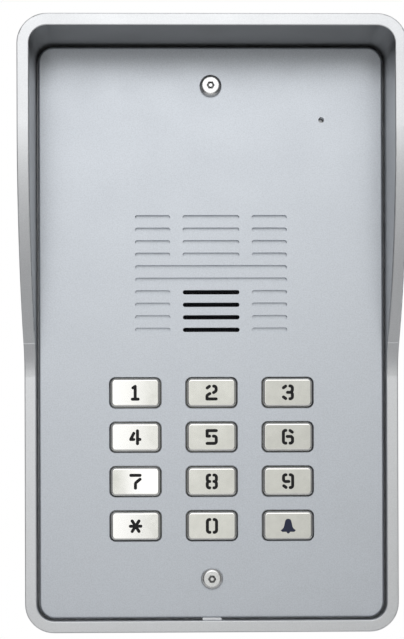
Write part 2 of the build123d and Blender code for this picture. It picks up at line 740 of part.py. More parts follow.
with BuildPart() as keypad_mat:
    with BuildSketch(level(MAT_BACK)):
        with Locations((0, KEYPAD_Z)):
            RectangleRounded(KEYPAD_WIDTH - 2 * MAT_INSET, KEYPAD_HEIGHT - 2 * MAT_INSET, KEY_HOLE_CORNER)
            with GridLocations(KEY_PITCH_X, KEY_PITCH_Z, KEY_COLUMNS - 1, KEY_ROWS - 1):
                Circle(M3_CLEAR, mode=Mode.SUBTRACT)
    extrude(amount=MAT_THICK)
    with Locations(level(KEYPAD_BACK)):
        with Locations((0, KEYPAD_Z)):
            with GridLocations(KEY_PITCH_X, KEY_PITCH_Z, KEY_COLUMNS, KEY_ROWS):
                Cone(
                    DOME_BASE_RADIUS,
                    DOME_TOP_RADIUS,
                    DOME_HEIGHT,
                    align=(Align.CENTER, Align.CENTER, Align.MIN),
                )
                Cone(
                    DOME_CAVITY_RADIUS,
                    DOME_CAVITY_TOP,
                    DOME_CAVITY_HEIGHT,
                    align=(Align.CENTER, Align.CENTER, Align.MIN),
                    mode=Mode.SUBTRACT,
                )
                Cylinder(
                    DOME_CAVITY_RADIUS,
                    MAT_THICK,
                    align=(Align.CENTER, Align.CENTER, Align.MAX),
                    mode=Mode.SUBTRACT,
                )
save(keypad_mat, "keypad_mat")

with BuildPart() as carbon_pills:
    with BuildSketch(level(KEYPAD_BACK)):
        with Locations((0, KEYPAD_Z)):
            with GridLocations(KEY_PITCH_X, KEY_PITCH_Z, KEY_COLUMNS, KEY_ROWS):
                Circle(PILL_RADIUS)
    extrude(amount=DOME_CAVITY_HEIGHT)
save(carbon_pills, "carbon_pills")

with BuildPart() as keypad_board:
    with BuildSketch(level(KEYPAD_BOARD_BACK)):
        with Locations((0, KEYPAD_Z)):
            RectangleRounded(KEYPAD_WIDTH - 2 * MAT_INSET, KEYPAD_HEIGHT - 2 * MAT_INSET, KEY_HOLE_CORNER)
            with GridLocations(KEY_PITCH_X, KEY_PITCH_Z, KEY_COLUMNS - 1, KEY_ROWS - 1):
                Circle(M3_CLEAR, mode=Mode.SUBTRACT)
    extrude(amount=BOARD_THICK)
save(keypad_board, "keypad_board")

with BuildPart() as keypad_studs:
    with BuildSketch(level(PLATE_BACK)):
        with Locations((0, KEYPAD_Z)):
            with GridLocations(KEY_PITCH_X, KEY_PITCH_Z, KEY_COLUMNS - 1, KEY_ROWS - 1):
                Circle(M3_RADIUS)
    extrude(amount=-KEYPAD_STUD_LENGTH)
save(keypad_studs, "keypad_studs")

with BuildPart() as keypad_nuts:
    with BuildSketch(level(KEYPAD_BOARD_BACK)):
        with Locations((0, KEYPAD_Z)):
            with GridLocations(KEY_PITCH_X, KEY_PITCH_Z, KEY_COLUMNS - 1, KEY_ROWS - 1):
                RegularPolygon(across_flats(NUT_ACROSS), 6)
                Circle(M3_RADIUS + THREAD_CLEAR, mode=Mode.SUBTRACT)
    extrude(amount=-NUT_THICK)
save(keypad_nuts, "keypad_nuts")

with BuildPart() as board_connector:
    header_length = KEYPAD_BOARD_BACK - MAIN_BOARD_FACE
    with BuildSketch(level(MAIN_BOARD_FACE)):
        with Locations((0, HEADER_Z)):
            Rectangle(*HEADER_WAIST)
    extrude(amount=header_length)
    with BuildSketch(level(MAIN_BOARD_FACE)):
        with Locations((0, HEADER_Z)):
            Rectangle(*HEADER_SIZE)
    extrude(amount=header_length / 2)
save(board_connector, "board_connector")

# ---------------------------------------------------------------- loudspeaker

with BuildPart() as speaker_mesh:
    with BuildSketch(level(PLATE_BACK)):
        with Locations((0, SPEAKER_Z)):
            Circle(MESH_RADIUS)
    extrude(amount=-MESH_THICK)
save(speaker_mesh, "speaker_mesh")

with BuildPart() as speaker_gasket:
    with BuildSketch(level(PLATE_BACK)):
        with Locations((0, SPEAKER_Z)):
            Circle(SPEAKER_RADIUS)
            Circle(SPEAKER_THROAT, mode=Mode.SUBTRACT)
    extrude(amount=-SPEAKER_SEAL_THICK)
save(speaker_gasket, "speaker_gasket")

with BuildPart() as speaker_frame:
    with BuildSketch(level(BASKET_FACE)):
        with Locations((0, SPEAKER_Z)):
            Circle(SPEAKER_RADIUS)
            Circle(SPEAKER_THROAT, mode=Mode.SUBTRACT)
    extrude(amount=-BASKET_RIM)
    with BuildSketch(level(BASKET_BACK)):
        with Locations((0, SPEAKER_Z)):
            Circle(SPEAKER_THROAT + BASKET_WALL)
            Circle(SPEAKER_THROAT, mode=Mode.SUBTRACT)
    extrude(amount=BASKET_DEPTH)
    with BuildSketch(level(BASKET_BACK)):
        with Locations((0, SPEAKER_Z)):
            Circle(SPEAKER_THROAT + BASKET_WALL)
            Circle(POLE_HOLE_RADIUS, mode=Mode.SUBTRACT)
            with PolarLocations(TAG_OFFSET - BASKET_WALL, 6, start_angle=60):
                Circle(BASKET_WINDOW_RADIUS, mode=Mode.SUBTRACT)
    extrude(amount=BASKET_WALL)
save(speaker_frame, "speaker_frame")

with BuildPart() as speaker_magnet:
    with BuildSketch(level(BASKET_BACK)):
        with Locations((0, SPEAKER_Z)):
            Circle(MAGNET_RADIUS)
    extrude(amount=-MAGNET_LENGTH)
    with BuildSketch(level(BASKET_BACK)):
        with Locations((0, SPEAKER_Z)):
            Circle(POLE_RADIUS)
    extrude(amount=POLE_LENGTH)
save(speaker_magnet, "speaker_magnet")

with BuildPart() as speaker_cone:
    rim_y = -(BASKET_FACE - BASKET_WALL)
    neck_y = rim_y + CONE_SINK
    with BuildSketch(Plane.XY.offset(SPEAKER_Z)):
        with BuildLine():
            Polyline(
                (0, neck_y - CONE_THICK * 2),
                (CONE_NECK_RADIUS, neck_y),
                (CONE_FOLD_RADIUS, rim_y),
                (CONE_RIM_RADIUS, rim_y),
                (CONE_RIM_RADIUS, rim_y + CONE_THICK),
                (CONE_FOLD_RADIUS, rim_y + CONE_THICK),
                (CONE_NECK_RADIUS, neck_y + CONE_THICK),
                (0, neck_y - CONE_THICK),
                close=True,
            )
        make_face()
    revolve(axis=axis_at(0, SPEAKER_Z))
save(speaker_cone, "speaker_cone")

with BuildPart() as speaker_terminals:
    with BuildSketch(level(BASKET_BACK)):
        with Locations((TAG_OFFSET, SPEAKER_Z)):
            Rectangle(TAG_SIZE[0], TAG_SIZE[1])
    extrude(amount=-TAG_SIZE[2])
save(speaker_terminals, "speaker_terminals")

with BuildPart() as speaker_clamp:
    with BuildSketch(level(CLAMP_FACE)):
        with Locations((0, SPEAKER_Z)):
            Circle(CLAMP_OUTER)
            with PolarLocations(CLAMP_LUG_ORBIT, CLAMP_LUGS, start_angle=90):
                Circle(CLAMP_LUG_RADIUS)
            Circle(CLAMP_INNER, mode=Mode.SUBTRACT)
            with PolarLocations(CLAMP_LUG_ORBIT, CLAMP_LUGS, start_angle=90):
                Circle(M3_CLEAR, mode=Mode.SUBTRACT)
    extrude(amount=-CLAMP_THICK)
save(speaker_clamp, "speaker_clamp")

with BuildPart() as speaker_studs:
    with BuildSketch(level(PLATE_BACK)):
        with Locations((0, SPEAKER_Z)):
            with PolarLocations(CLAMP_LUG_ORBIT, CLAMP_LUGS, start_angle=90):
                Circle(M3_RADIUS)
    extrude(amount=-CLAMP_STUD_LENGTH)
save(speaker_studs, "speaker_studs")

with BuildPart() as speaker_nuts:
    with BuildSketch(level(CLAMP_FACE - CLAMP_THICK)):
        with Locations((0, SPEAKER_Z)):
            with PolarLocations(CLAMP_LUG_ORBIT, CLAMP_LUGS, start_angle=90):
                RegularPolygon(across_flats(NUT_ACROSS), 6)
                Circle(M3_RADIUS + THREAD_CLEAR, mode=Mode.SUBTRACT)
    extrude(amount=-NUT_THICK)
save(speaker_nuts, "speaker_nuts")

# ---------------------------------------------------------------- microphone

with BuildPart() as mic_boot:
    with BuildSketch(level(MIC_BACK)):
        with Locations((MIC_X, MIC_Z)):
            Circle(MIC_BOOT_DIA / 2)
            Circle(MIC_CAPSULE_DIA / 2 + MIC_FIT, mode=Mode.SUBTRACT)
    extrude(amount=MIC_CAPSULE_LENGTH)
    with BuildSketch(level(PLATE_BACK)):
        with Locations((MIC_X, MIC_Z)):
            Circle(MIC_BOOT_DIA / 2)
            Circle(MIC_HOLE_RADIUS, mode=Mode.SUBTRACT)
    extrude(amount=-MIC_BOOT_FRONT)
save(mic_boot, "mic_boot")

with BuildPart() as mic_capsule:
    with BuildSketch(level(MIC_BACK)):
        with Locations((MIC_X, MIC_Z)):
            Circle(MIC_CAPSULE_DIA / 2)
    extrude(amount=MIC_CAPSULE_LENGTH)
save(mic_capsule, "mic_capsule")

# ---------------------------------------------------------------- main board

STANDOFF_Z = (STANDOFF_HIGH_Z + STANDOFF_LOW_Z) / 2
STANDOFF_SPAN = STANDOFF_HIGH_Z - STANDOFF_LOW_Z

with BuildPart() as pcb_standoffs:
    with BuildSketch(level(PLATE_BACK)):
        with Locations((0, STANDOFF_Z)):
            with GridLocations(STANDOFF_X, STANDOFF_SPAN, 2, 2):
                RegularPolygon(across_flats(NUT_ACROSS), 6)
    extrude(amount=-STANDOFF_LENGTH)
    with BuildSketch(level(MAIN_BOARD_FACE)):
        with Locations((0, STANDOFF_Z)):
            with GridLocations(STANDOFF_X, STANDOFF_SPAN, 2, 2):
                Circle(M3_RADIUS + THREAD_CLEAR)
    extrude(amount=STANDOFF_BORE, mode=Mode.SUBTRACT)
save(pcb_standoffs, "pcb_standoffs")

with BuildPart() as main_board:
    with BuildSketch(level(MAIN_BOARD_BACK)):
        with Locations((0, MAIN_BOARD_Z)):
            RectangleRounded(MAIN_BOARD_WIDTH, MAIN_BOARD_HEIGHT, MAIN_BOARD_CORNER)
        with Locations((0, STANDOFF_Z)):
            with GridLocations(STANDOFF_X, STANDOFF_SPAN, 2, 2):
                Circle(M3_CLEAR, mode=Mode.SUBTRACT)
    extrude(amount=BOARD_THICK)
save(main_board, "main_board")

with BuildPart() as pcb_screws:
    with BuildSketch(level(MAIN_BOARD_BACK)):
        with Locations((0, STANDOFF_Z)):
            with GridLocations(STANDOFF_X, STANDOFF_SPAN, 2, 2):
                Circle(BOARD_HEAD_RADIUS)
    extrude(amount=-BOARD_HEAD_HEIGHT)
    fillet(pcb_screws.edges().group_by(Axis.Y)[-1], BOARD_HEAD_HEIGHT / 2)
    with BuildSketch(level(MAIN_BOARD_BACK)):
        with Locations((0, STANDOFF_Z)):
            with GridLocations(STANDOFF_X, STANDOFF_SPAN, 2, 2):
                Circle(M3_RADIUS)
    extrude(amount=BOARD_SHANK)
    with BuildSketch(level(MAIN_BOARD_BACK - BOARD_HEAD_HEIGHT)):
        with Locations((0, STANDOFF_Z)):
            with GridLocations(STANDOFF_X, STANDOFF_SPAN, 2, 2):
                Rectangle(M3_RADIUS * 2, M3_RADIUS / 2)
                Rectangle(M3_RADIUS / 2, M3_RADIUS * 2)
    extrude(amount=BOARD_HEAD_HEIGHT / 2, mode=Mode.SUBTRACT)
save(pcb_screws, "pcb_screws")

with BuildPart() as terminal_block:
    block_face = MAIN_BOARD_BACK - TERMINAL_BODY[1]
    block_low_z = TERMINAL_Z - TERMINAL_BODY[0] / 2
    with BuildSketch(level(MAIN_BOARD_BACK)):
        with Locations((0, TERMINAL_Z)):
            Rectangle(TERMINALS * TERMINAL_PITCH, TERMINAL_BODY[0])
    extrude(amount=-TERMINAL_BODY[1])
    with BuildSketch(level(block_face)):
        with Locations((0, TERMINAL_Z)):
            with GridLocations(TERMINAL_PITCH, 0, TERMINALS, 1):
                Circle(TERMINAL_SCREW_RADIUS + THREAD_CLEAR)
    extrude(amount=TERMINAL_SCREW_SINK, mode=Mode.SUBTRACT)
    with BuildSketch(Plane.XY.offset(block_low_z)):
        with Locations((0, -(MAIN_BOARD_BACK - TERMINAL_MOUTH[1]))):
            with GridLocations(TERMINAL_PITCH, 0, TERMINALS, 1):
                Rectangle(TERMINAL_MOUTH[0], TERMINAL_MOUTH[1])
    extrude(amount=TERMINAL_MOUTH[2], mode=Mode.SUBTRACT)
save(terminal_block, "terminal_block")

with BuildPart() as terminal_screws:
    screw_height = TERMINAL_SCREW_SINK / 2
    with BuildSketch(level(block_face + screw_height)):
        with Locations((0, TERMINAL_Z)):
            with GridLocations(TERMINAL_PITCH, 0, TERMINALS, 1):
                Circle(TERMINAL_SCREW_RADIUS)
    extrude(amount=screw_height)
    with BuildSketch(level(block_face + screw_height)):
        with Locations((0, TERMINAL_Z)):
            with GridLocations(TERMINAL_PITCH, 0, TERMINALS, 1):
                Rectangle(TERMINAL_SCREW_RADIUS * 2, TERMINAL_SCREW_RADIUS / 3)
    extrude(amount=screw_height / 2, mode=Mode.SUBTRACT)
save(terminal_screws, "terminal_screws")

with BuildPart() as relay:
    with BuildSketch(level(MAIN_BOARD_BACK)):
        with Locations(RELAY_PLACE):
            Rectangle(RELAY_SIZE[0], RELAY_SIZE[1])
    extrude(amount=-RELAY_SIZE[2])
    fillet(relay.edges().group_by(Axis.Y)[-1], BASKET_WALL)
save(relay, "relay")

with BuildPart() as capacitors:
    with BuildSketch(level(MAIN_BOARD_BACK)):
        with Locations(*CAPACITOR_PLACES):
            Circle(CAPACITOR_RADIUS)
    extrude(amount=-CAPACITOR_LENGTH)
    fillet(capacitors.edges().group_by(Axis.Y)[-1], BASKET_WALL)
save(capacitors, "capacitors")

with BuildPart() as main_chip:
    with BuildSketch(level(MAIN_BOARD_BACK)):
        with Locations(CHIP_PLACE):
            Rectangle(CHIP_SIZE[0], CHIP_SIZE[1])
    extrude(amount=-CHIP_SIZE[2])
    pin_reach = CHIP_SIZE[1] + 2 * CHIP_PIN[1]
    with BuildSketch(level(MAIN_BOARD_BACK)):
        with Locations(CHIP_PLACE):
            with GridLocations(CHIP_PIN_PITCH, 0, CHIP_PINS, 1):
                Rectangle(CHIP_PIN[0], pin_reach)
            with GridLocations(0, CHIP_PIN_PITCH, 1, CHIP_PINS):
                Rectangle(pin_reach, CHIP_PIN[0])
    extrude(amount=-CHIP_PIN[2])
save(main_chip, "main_chip")

# ---------------------------------------------------------------- plugs and leads

with BuildPart() as lead_plugs:
    with BuildSketch(level(MAIN_BOARD_FACE)):
        with Locations(SPEAKER_PLUG, MIC_PLUG):
            Rectangle(PLUG_SIZE[0], PLUG_SIZE[1])
    extrude(amount=PLUG_SIZE[2])
    with BuildSketch(level(MAIN_BOARD_FACE)):
        with Locations(SPEAKER_PLUG, MIC_PLUG):
            Rectangle(PLUG_SIZE[0] + 2 * PLUG_RIB, PLUG_SIZE[1] - 2 * PLUG_RIB)
    extrude(amount=PLUG_RIB)
save(lead_plugs, "lead_plugs")


def bend_radii(points):
    """Largest arc that each corner of the route leaves room for."""
    radii = []
    for before, corner, after in zip(points, points[1:], points[2:]):
        run_in = Vector(*corner) - Vector(*before)
        run_out = Vector(*after) - Vector(*corner)
        half_turn = radians(run_in.get_angle(run_out)) / 2
        radii.append(LEAD_ARC_SHARE * min(run_in.length, run_out.length) / tan(half_turn))
    return radii


def build_leads(name, route, shift):
    """Pair of insulated wires side by side along one route of (x, depth, z) points."""
    with BuildPart() as leads:
        for side in (-0.5, 0.5):
            points = [(x + side * shift[0], -depth, z + side * shift[1]) for x, depth, z in route]
            radii = bend_radii(points)
            with BuildLine():
                path = FilletPolyline(*points, radius=radii)
            with BuildSketch(Plane(origin=path @ 0, z_dir=path % 0)):
                Circle(LEAD_DIAMETER / 2)
            sweep(path=path)
        run = path.length
    print(name, "radii", [round(radius, 1) for radius in radii], "length", round(run, 1))
    save(leads, name)


tag_edge = TAG_OFFSET + TAG_SIZE[0] / 2
tag_depth = BASKET_BACK - TAG_SIZE[2] / 2
speaker_plug_edge = SPEAKER_PLUG[0] - PLUG_SIZE[0] / 2
SPEAKER_LEAD_ROUTE = (
    (tag_edge, tag_depth, SPEAKER_Z),
    (tag_edge + 5.5, tag_depth, SPEAKER_Z),
    (tag_edge + 11.0, LEAD_DEPTH + 1.8, SPEAKER_Z + 3.4),
    (speaker_plug_edge - 5.5, LEAD_DEPTH, SPEAKER_PLUG[1]),
    (speaker_plug_edge, LEAD_DEPTH, SPEAKER_PLUG[1]),
)
build_leads("speaker_leads", SPEAKER_LEAD_ROUTE, (0, LEAD_SPACING))

mic_plug_edge = MIC_PLUG[1] + PLUG_SIZE[1] / 2
MIC_LEAD_ROUTE = (
    (MIC_X, MIC_BACK, MIC_Z),
    (MIC_X, MIC_BACK - 2.6, MIC_Z),
    (MIC_X, LEAD_DEPTH - 0.3, MIC_Z - 2.4),
    (MIC_X, LEAD_DEPTH, MIC_Z - 7.0),
    (MIC_X, LEAD_DEPTH, mic_plug_edge),
)
build_leads("mic_leads", MIC_LEAD_ROUTE, (LEAD_SPACING, 0))
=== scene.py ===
import json
from math import cos, hypot, radians, sin

import bmesh
import bpy
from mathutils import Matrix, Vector

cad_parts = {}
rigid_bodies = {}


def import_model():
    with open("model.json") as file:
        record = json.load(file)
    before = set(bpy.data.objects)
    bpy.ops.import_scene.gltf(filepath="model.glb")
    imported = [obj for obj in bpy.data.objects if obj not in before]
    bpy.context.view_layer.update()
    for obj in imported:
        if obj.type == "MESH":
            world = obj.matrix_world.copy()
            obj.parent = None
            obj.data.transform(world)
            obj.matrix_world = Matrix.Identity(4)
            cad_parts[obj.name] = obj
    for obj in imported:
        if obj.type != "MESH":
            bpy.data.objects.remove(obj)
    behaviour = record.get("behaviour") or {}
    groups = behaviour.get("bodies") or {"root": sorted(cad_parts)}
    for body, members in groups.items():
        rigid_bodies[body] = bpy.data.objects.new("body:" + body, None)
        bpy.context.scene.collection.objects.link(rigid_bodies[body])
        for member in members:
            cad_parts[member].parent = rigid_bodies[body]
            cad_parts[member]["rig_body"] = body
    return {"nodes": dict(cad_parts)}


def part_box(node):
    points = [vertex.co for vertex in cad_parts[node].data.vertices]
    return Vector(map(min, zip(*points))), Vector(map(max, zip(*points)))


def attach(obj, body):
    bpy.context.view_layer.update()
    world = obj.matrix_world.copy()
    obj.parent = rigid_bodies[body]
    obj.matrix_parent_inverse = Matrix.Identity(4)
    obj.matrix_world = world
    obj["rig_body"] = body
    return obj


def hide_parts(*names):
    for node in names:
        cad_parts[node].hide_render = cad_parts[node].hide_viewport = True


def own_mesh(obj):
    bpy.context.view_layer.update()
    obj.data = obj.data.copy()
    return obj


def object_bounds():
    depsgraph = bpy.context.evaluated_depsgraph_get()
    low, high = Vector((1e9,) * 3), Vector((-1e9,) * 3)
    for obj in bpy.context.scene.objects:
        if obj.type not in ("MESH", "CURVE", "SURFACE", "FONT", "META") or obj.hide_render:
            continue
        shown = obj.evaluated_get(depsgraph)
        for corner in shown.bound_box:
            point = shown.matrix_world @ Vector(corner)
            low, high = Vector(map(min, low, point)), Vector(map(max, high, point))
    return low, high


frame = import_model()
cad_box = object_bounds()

# Looks of the door intercom panel. Everything is in metres, in the CAD frame: +Z is up, the panel
# faces -Y and the origin is the middle of its back. The CAD parts keep their shapes and get
# procedural finishes here, apart from the rubber mat, which is cut into a flat sheet and one dome
# under each key. The paint in the key legends, the light, the floor and the camera are added.

NODES = frame["nodes"]
MM = 0.001

# ---------------------------------------------------------------- camera

CAMERA_PLACE = (-0.01251, -0.58806, -0.03116)
CAMERA_TURN = (90.235, 0.179, -0.947)
CAMERA_LENS = 90.17
CAMERA_SENSOR = 36.0
CAMERA_SHIFT_Y = 0.15


def add_camera():
    """Camera at the photograph's place and angle, with no depth of field."""
    data = bpy.data.cameras.new("camera")
    data.lens = CAMERA_LENS
    data.sensor_width = CAMERA_SENSOR
    data.shift_y = CAMERA_SHIFT_Y
    camera = bpy.data.objects.new("camera", data)
    camera.location = CAMERA_PLACE
    camera.rotation_euler = [radians(angle) for angle in CAMERA_TURN]
    bpy.context.scene.collection.objects.link(camera)
    bpy.context.scene.camera = camera


# ---------------------------------------------------------------- node building blocks


def in_use(sockets, name):
    """The socket of that name that the node's settings leave switched on."""
    return next(socket for socket in sockets if socket.name == name and socket.enabled)


class NodeTree:
    """A node tree under construction."""

    def add(self, kind):
        return self.tree.nodes.new("ShaderNode" + kind)

    def link(self, source, target):
        self.tree.links.new(source, target)

    def math(self, operation, first, second=0.0):
        node = self.add("Math")
        node.operation = operation
        for socket, value in zip(node.inputs, (first, second)):
            if isinstance(value, (int, float)):
                socket.default_value = value
            else:
                self.link(value, socket)
        return node.outputs["Value"]

    def parts(self, vector):
        """The X, Y and Z of a vector."""
        split = self.add("SeparateXYZ")
        self.link(vector, split.inputs["Vector"])
        return split.outputs


# Painted shade in gaps and corners: the samples of the occlusion, and the least share of the colour it
# keeps
CREVICE_SHADE_SAMPLES = 8
CREVICE_SHADE_DARKEST = 0.02
RAMP_SPAN = (0.30, 0.70)
WHITE = (1, 1, 1, 1)


def shade(colour, factor):
    """A darker or lighter colour of the same hue."""
    return tuple(channel * factor for channel in colour)


class Finish(NodeTree):
    """A Principled material under construction, laid out in the object's own metres."""

    def __init__(self, name, **sockets):
        self.material = bpy.data.materials.new(name)
        self.material.use_nodes = True
        self.tree = self.material.node_tree
        self.shader = self.tree.nodes["Principled BSDF"]
        coordinates = self.add("TexCoord").outputs
        self.place = coordinates["Object"]
        self.normal = coordinates["Normal"]
        self.last_bump = None
        for socket, value in sockets.items():
            self.shader.inputs[socket.replace("_", " ")].default_value = value

    def stretched(self, size, stretch):
        """Place scaled so that a texture of scale 1 has features about size across."""
        mapping = self.add("Mapping")
        mapping.inputs["Scale"].default_value = [1 / (size * s) for s in stretch]
        self.link(self.place, mapping.inputs["Vector"])
        return mapping.outputs["Vector"]

    def noise(self, size, detail=2.0, stretch=(1, 1, 1)):
        texture = self.add("TexNoise")
        texture.inputs["Scale"].default_value = 1.0
        texture.inputs["Detail"].default_value = detail
        self.link(self.stretched(size, stretch), texture.inputs["Vector"])
        return texture.outputs["Fac"]

    def patches(self, size):
        """Angular patches, each with a grey level of its own."""
        texture = self.add("TexVoronoi")
        texture.inputs["Scale"].default_value = 1.0
        self.link(self.stretched(size, (1, 1, 1)), texture.inputs["Vector"])
        grey = self.add("RGBToBW")
        self.link(texture.outputs["Color"], grey.inputs["Color"])
        return grey.outputs["Val"]

    def waves(self, size, direction):
        texture = self.add("TexWave")
        texture.bands_direction = direction
        texture.inputs["Scale"].default_value = 1.0
        self.link(self.stretched(size, (1, 1, 1)), texture.inputs["Vector"])
        return texture.outputs["Fac"]

    def ramp(self, factor, stops):
        """Colour that goes through the (position, colour) stops as the factor grows."""
        node = self.add("ValToRGB")
        elements = node.color_ramp.elements
        while len(elements) < len(stops):
            elements.new(0.5)
        for element, (position, colour) in zip(elements, stops):
            element.position = position
            element.color = (*colour, 1)
        self.link(factor, node.inputs["Fac"])
        return node.outputs["Color"]

    def toned(self, factor, colour, low, high):
        """The colour, from its low share to its high share over the usual span of the factor."""
        return self.ramp(factor, tuple(zip(RAMP_SPAN, (shade(colour, low), shade(colour, high)))))

    def mixed(self, first, share, second):
        """A share of the first number and the rest of the second."""
        rest = self.math("MULTIPLY", second, 1.0 - share)
        return self.math("ADD", self.math("MULTIPLY", first, share), rest)

    def spread(self, factor, low, high, start=0.3, end=0.7):
        """Number that goes from low to high as the factor goes from start to end."""
        node = self.add("MapRange")
        node.inputs["From Min"].default_value = start
        node.inputs["From Max"].default_value = end
        node.inputs["To Min"].default_value = low
        node.inputs["To Max"].default_value = high
        self.link(factor, node.inputs["Value"])
        return node.outputs["Result"]

    def blend(self, factor, first, second):
        """The first colour where the factor is 0, the second where it is 1."""
        node = self.add("Mix")
        node.data_type = "RGBA"
        self.link(factor, in_use(node.inputs, "Factor"))
        self.link(first, in_use(node.inputs, "A"))
        self.link(second, in_use(node.inputs, "B"))
        return in_use(node.outputs, "Result")

    def scaled(self, colour, factor):
        node = self.add("VectorMath")
        node.operation = "SCALE"
        self.link(colour, node.inputs["Vector"])
        self.link(factor, node.inputs["Scale"])
        return node.outputs["Vector"]

    def axis(self, name):
        """One coordinate of the place on the object, in metres."""
        return self.parts(self.place)[name]

    def within(self, number, limit):
        """1 where the number lies between the limit and its negative, 0 elsewhere."""
        return self.math("LESS_THAN", self.math("ABSOLUTE", number), limit)

    def painted_crevice_shade(self, colour, reach, closed, clear):
        """The colour, darkened in gaps and corners narrower than the reach: painted shade, where
        little light gets in.

        Closed and clear are how open a spot is, from 0 to 1, where the painted shade is full and where
        it ends.
        """
        shelter = self.add("AmbientOcclusion")
        shelter.samples = CREVICE_SHADE_SAMPLES
        shelter.inputs["Distance"].default_value = reach
        tone = self.spread(shelter.outputs["AO"], CREVICE_SHADE_DARKEST, 1.0, closed, clear)
        return self.scaled(colour, tone)

    def bump(self, height, depth):
        """Relief of the given depth in metres, on top of any relief that is there."""
        node = self.add("Bump")
        node.inputs["Strength"].default_value = 1.0
        node.inputs["Distance"].default_value = depth
        self.link(height, node.inputs["Height"])
        if self.last_bump is not None:
            self.link(self.last_bump, node.inputs["Normal"])
        self.last_bump = node.outputs["Normal"]
        self.link(self.last_bump, self.shader.inputs["Normal"])

    def colour(self, socket):
        self.link(socket, self.shader.inputs["Base Color"])

    def roughness(self, socket):
        self.link(socket, self.shader.inputs["Roughness"])


# ---------------------------------------------------------------- finishes that show

PLATE_SILVER = (0.745, 0.785, 0.84)
PLATE_CLOUD = 14 * MM
PLATE_GRAIN = 0.42 * MM
PLATE_RELIEF = 0.012 * MM
HOUSING_SILVER = (0.86, 0.875, 0.895)
HOUSING_CLOUD = 20 * MM
HOUSING_FLAKE = 0.30 * MM
FLAKE_RELIEF = 0.006 * MM
ORANGE_PEEL = 1.8 * MM
PEEL_RELIEF = 0.008 * MM
KEY_NICKEL = (0.95, 0.945, 0.92)
KEY_SMUDGE = 3.5 * MM
KEY_SCRATCH = 0.12 * MM
SCRATCH_STRETCH = 28
SCRATCH_RELIEF = 0.0004 * MM
SCREW_STEEL = ((0.3, (0.80, 0.81, 0.82)), (0.7, (0.93, 0.93, 0.93)))
SCREW_DENT = 0.8 * MM
DENT_RELIEF = 0.004 * MM
SCREW_GRAIN = 0.10 * MM
SCREW_GRAIN_STRETCH = 40
SCREW_GRAIN_RELIEF = 0.0015 * MM
INK_BLACK = (0.006, 0.006, 0.007)
BELL_NAVY = (0.030, 0.038, 0.085)
INK_GRAIN = 0.25 * MM
INK_RELIEF = 0.01 * MM

# Painted shade in gaps and corners: its reach in metres, and how open a spot is where the shade is
# full and where it ends
PLATE_CREVICE_SHADE = (0.35 * MM, 0.15, 0.60)
HOUSING_CREVICE_SHADE = (0.5 * MM, 0.10, 0.50)
KEY_CREVICE_SHADE = (0.9 * MM, 0.25, 0.90)
SCREW_CREVICE_SHADE = (1.2 * MM, 0.35, 0.90)

# Painted shade: the housing's inner walls are painted darker than its outside. The reach is how far
# outside the plate's edge they lie at most, the tilt how much a wall may face front or back. The tone
# falls from the first of the two tones to the second over the fade, the last stretch below the plate's
# top edge.
WALL_SHADE_REACH = 0.65 * MM
WALL_SHADE_TILT = 0.5
WALL_SHADE_FADE = 14 * MM
WALL_SHADE_TONES = (0.68, 0.24)

# How far each polished face is from flat, in its reflections only: its lean to the right and up in
# degrees, and its dish across, as the change of slope per metre
KEY_LEANS = {
    "key_1": (0.0, 0.1, 0.0),
    "key_2": (0.0, 0.48, 0.0),
    "key_3": (0.0, -0.25, 0.0),
    "key_4": (0.0, 0.4, 0.0),
    "key_5": (0.0, 0.8, 0.0),
    "key_6": (0.0, 0.0, 0.0),
    "key_7": (-0.27, 1.2, 3.0),
    "key_8": (0.0, 1.05, 0.0),
    "key_9": (0.0, 0.7, 0.0),
    "key_star": (0.0, 1.05, 0.0),
    "key_0": (0.0, 2.0, 0.0),
    "key_bell": (0.0, 0.8, 0.0),
}


def satin_plate(name):
    """Silver satin sheet: a fine even grain over faint cloudy patches."""
    finish = Finish(name, Metallic=1.0)
    clouds = finish.noise(PLATE_CLOUD, detail=3.0)
    grain = finish.noise(PLATE_GRAIN)
    silver = finish.toned(finish.mixed(clouds, 0.3, grain), PLATE_SILVER, 0.90, 1.07)
    # Painted shade in the gaps and corners
    finish.colour(finish.painted_crevice_shade(silver, *PLATE_CREVICE_SHADE))
    finish.roughness(finish.spread(clouds, 0.37, 0.41))
    finish.bump(grain, PLATE_RELIEF)
    return finish.material


def cast_silver(name):
    """Silver lacquer over a casting: a soft orange peel, a fine flake, and painted shade in its
    corners and on its inner walls.
    """
    finish = Finish(name, Metallic=1.0, Coat_Weight=0.25, Coat_Roughness=0.3)
    clouds = finish.noise(HOUSING_CLOUD, detail=3.0)
    flake = finish.noise(HOUSING_FLAKE, detail=1.0)
    silver = finish.toned(finish.mixed(clouds, 0.4, flake), HOUSING_SILVER, 0.93, 1.05)
    # Painted shade in the corners and on the inner walls, multiplied into the colour
    finish.colour(finish.scaled(finish.painted_crevice_shade(silver, *HOUSING_CREVICE_SHADE), painted_wall_shade(finish)))
    finish.roughness(finish.spread(clouds, 0.33, 0.39))
    finish.bump(finish.noise(ORANGE_PEEL, detail=1.0), PEEL_RELIEF)
    finish.bump(flake, FLAKE_RELIEF)
    return finish.material


def painted_wall_shade(finish):
    """The share of its colour that the housing keeps: 1 outside, less on the inner walls, where shade
    is painted.
    """
    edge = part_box("front_plate")[1]
    height = finish.axis("Z")
    inside = finish.math(
        "MULTIPLY",
        finish.within(finish.axis("X"), edge.x + WALL_SHADE_REACH),
        finish.within(height, edge.z + WALL_SHADE_REACH),
    )
    wall = finish.within(finish.parts(finish.normal)["Y"], WALL_SHADE_TILT)
    inside = finish.math("MULTIPLY", inside, wall)
    wall_shade = finish.spread(height, *WALL_SHADE_TONES, edge.z - WALL_SHADE_FADE, edge.z)
    change = finish.math("MULTIPLY", inside, finish.math("SUBTRACT", wall_shade, 1.0))
    return finish.math("ADD", change, 1.0)


